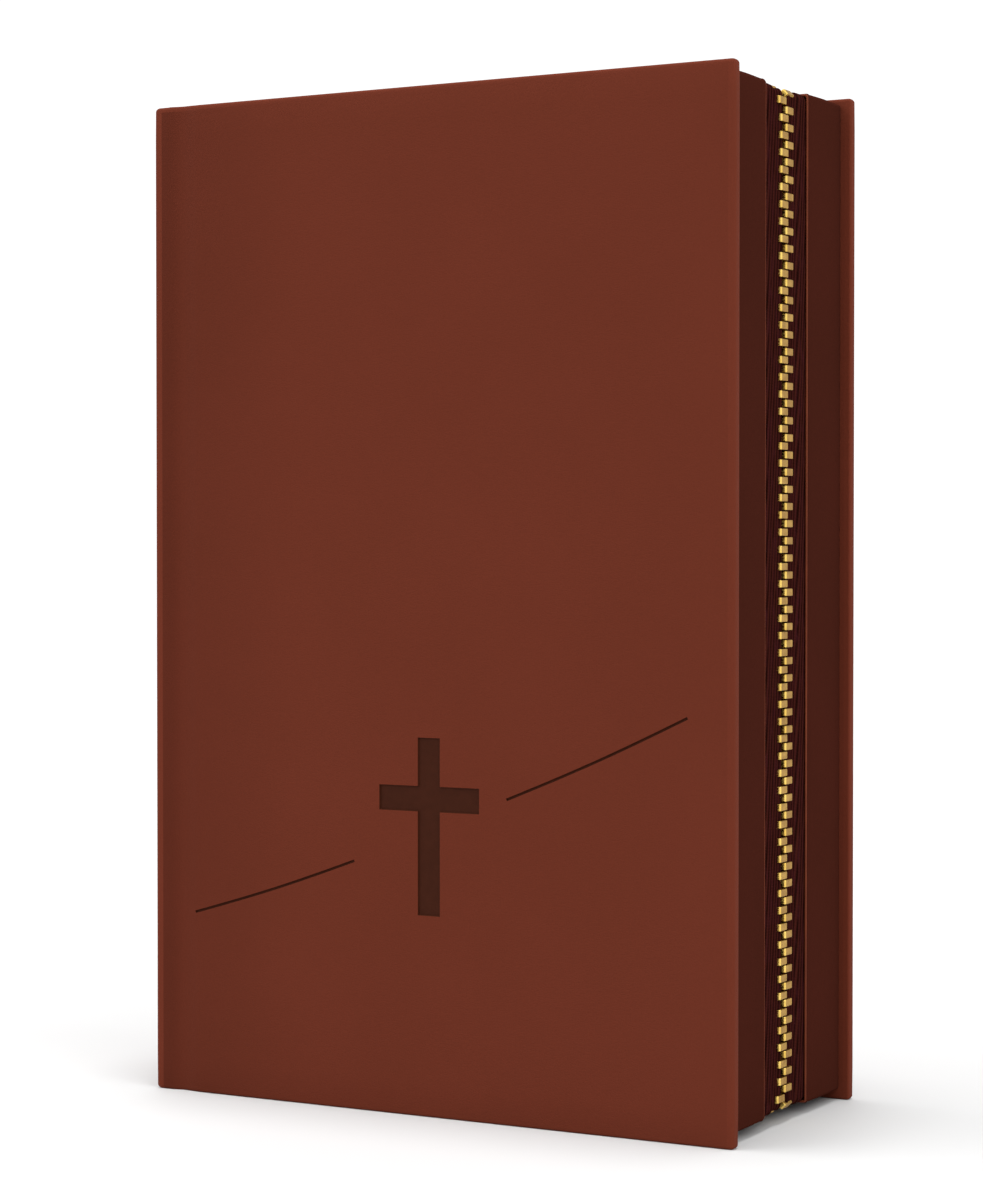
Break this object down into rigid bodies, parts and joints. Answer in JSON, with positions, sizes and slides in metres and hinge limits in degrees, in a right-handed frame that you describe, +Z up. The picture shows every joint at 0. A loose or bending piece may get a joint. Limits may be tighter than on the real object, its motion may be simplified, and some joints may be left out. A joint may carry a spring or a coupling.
{
  "type": "zip-case bible",
  "caption": "Brown leather zip-case bible: hinged covers, brass zip round the edges, sewn text block with turning leaves and ribbon markers.",
  "frame": {"origin": "centre of the closed case's bottom, on the surface it stands on", "axes": "+Z up along the spine towards the head, -X the spine, +X the fore-edge, -Y the front cover, +Y the back cover"},
  "size_m": [0.11, 0.0496, 0.1726],
  "materials": {
    "cover_leather": "smooth brown bonded leather, satin",
    "gusset_leather": "dark brown gusset leather, satin",
    "welt_leather": "tan folded edge",
    "board": "grey-brown binder's board",
    "lining": "brown lining cloth",
    "page_paper": "thin cream paper",
    "end_paper": "heavier buff endpaper",
    "thread": "linen sewing thread",
    "mull": "open starched gauze",
    "kraft": "brown kraft paper tube",
    "band_silk": "striped headband silk",
    "ribbon_wine": "satin ribbon",
    "ribbon_gold": "satin ribbon",
    "zip_tape": "dark maroon twill tape",
    "zip_brass": "satin brass teeth",
    "slider_brass": "antique brass casting"
  },
  "bodies": {
    "text_block": {"spine_skin": "cover_leather", "spine_board": "board", "spine_lining": "lining", "text_sections": "page_paper", "sewing_thread": "thread", "spine_mull": "mull", "spine_hollow": "kraft", "headband": "band_silk", "tailband": "band_silk", "ribbon_marker_1": "ribbon_wine", "ribbon_marker_2": "ribbon_gold"},
    "front_cover": {"front_cover_skin": "cover_leather", "front_cover_board": "board", "front_cover_lining": "lining", "front_pastedown": "end_paper", "front_gusset": "gusset_leather", "front_gusset_welt": "welt_leather", "front_zip_tape": "zip_tape", "front_zip_teeth": "zip_brass", "front_zip_end_tab": "gusset_leather", "front_zip_top_stop": "zip_brass"},
    "back_cover": {"back_cover_skin": "cover_leather", "back_cover_board": "board", "back_cover_lining": "lining", "back_pastedown": "end_paper", "back_gusset": "gusset_leather", "back_gusset_welt": "welt_leather", "back_zip_tape": "zip_tape", "back_zip_teeth": "zip_brass", "back_zip_end_tab": "gusset_leather", "back_zip_top_stop": "zip_brass", "zip_end_tape": "zip_tape", "zip_end_teeth": "zip_brass", "zip_bottom_stop": "zip_brass", "zip_head_tab": "gusset_leather"},
    "zip_slider": {"slider_body": "slider_brass", "slider_bail": "slider_brass"},
    "zip_pull": {"pull_tab": "slider_brass"},
    "front_flyleaf_turn": {"front_flyleaf": "end_paper"},
    "front_leaf_4_turn": {"front_leaf_4": "page_paper"},
    "front_leaf_3_turn": {"front_leaf_3": "page_paper"},
    "front_leaf_2_turn": {"front_leaf_2": "page_paper"},
    "front_leaf_1_turn": {"front_leaf_1": "page_paper"},
    "back_flyleaf_turn": {"back_flyleaf": "end_paper"},
    "back_leaf_2_turn": {"back_leaf_2": "page_paper"},
    "back_leaf_1_turn": {"back_leaf_1": "page_paper"}
  },
  "joints": [
    {"name": "front_cover_hinge", "type": "hinge", "parent": "text_block", "child": "front_cover", "pos_m": [-0.0511, -0.02495, 0.085], "axis": [0, 0, -1], "range_deg": [0, 180]},
    {"name": "back_cover_hinge", "type": "hinge", "parent": "text_block", "child": "back_cover", "pos_m": [-0.0511, 0.02495, 0.085], "axis": [0, 0, 1], "range_deg": [0, 180]},
    {"name": "zip_slider_travel", "type": "slide", "parent": "back_cover", "child": "zip_slider", "axis": [1, 0, 0], "range_m": [0, 0.062]},
    {"name": "pull_tab_swing", "type": "hinge", "parent": "zip_slider", "child": "zip_pull", "pos_m": [-0.026, 0, 0.1711], "axis": [0, -1, 0], "range_deg": [0, 170]},
    {"name": "front_flyleaf_hinge", "type": "hinge", "parent": "text_block", "child": "front_flyleaf_turn", "pos_m": [-0.0474, -0.0186, 0.085], "axis": [0, 0, -1], "range_deg": [0, 90]},
    {"name": "front_leaf_4_hinge", "type": "hinge", "parent": "text_block", "child": "front_leaf_4_turn", "pos_m": [-0.0474, -0.0186, 0.085], "axis": [0, 0, -1], "range_deg": [0, 75.6]},
    {"name": "front_leaf_3_hinge", "type": "hinge", "parent": "text_block", "child": "front_leaf_3_turn", "pos_m": [-0.0474, -0.0186, 0.085], "axis": [0, 0, -1], "range_deg": [0, 61.2]},
    {"name": "front_leaf_2_hinge", "type": "hinge", "parent": "text_block", "child": "front_leaf_2_turn", "pos_m": [-0.0474, -0.0186, 0.085], "axis": [0, 0, -1], "range_deg": [0, 46.8]},
    {"name": "front_leaf_1_hinge", "type": "hinge", "parent": "text_block", "child": "front_leaf_1_turn", "pos_m": [-0.0474, -0.0186, 0.085], "axis": [0, 0, -1], "range_deg": [0, 32.4]},
    {"name": "back_flyleaf_hinge", "type": "hinge", "parent": "text_block", "child": "back_flyleaf_turn", "pos_m": [-0.0474, 0.0199, 0.085], "axis": [0, 0, 1], "range_deg": [0, 90]},
    {"name": "back_leaf_2_hinge", "type": "hinge", "parent": "text_block", "child": "back_leaf_2_turn", "pos_m": [-0.0474, 0.0199, 0.085], "axis": [0, 0, 1], "range_deg": [0, 61.2]},
    {"name": "back_leaf_1_hinge", "type": "hinge", "parent": "text_block", "child": "back_leaf_1_turn", "pos_m": [-0.0474, 0.0199, 0.085], "axis": [0, 0, 1], "range_deg": [0, 32.4]}
  ],
  "couplings": [
    {"joint": "front_flyleaf_hinge", "follows": "front_cover_hinge", "ratio": 0.5},
    {"joint": "front_leaf_4_hinge", "follows": "front_cover_hinge", "ratio": 0.42},
    {"joint": "front_leaf_3_hinge", "follows": "front_cover_hinge", "ratio": 0.34},
    {"joint": "front_leaf_2_hinge", "follows": "front_cover_hinge", "ratio": 0.26},
    {"joint": "front_leaf_1_hinge", "follows": "front_cover_hinge", "ratio": 0.18},
    {"joint": "back_flyleaf_hinge", "follows": "back_cover_hinge", "ratio": 0.5},
    {"joint": "back_leaf_2_hinge", "follows": "back_cover_hinge", "ratio": 0.34},
    {"joint": "back_leaf_1_hinge", "follows": "back_cover_hinge", "ratio": 0.18}
  ]
}
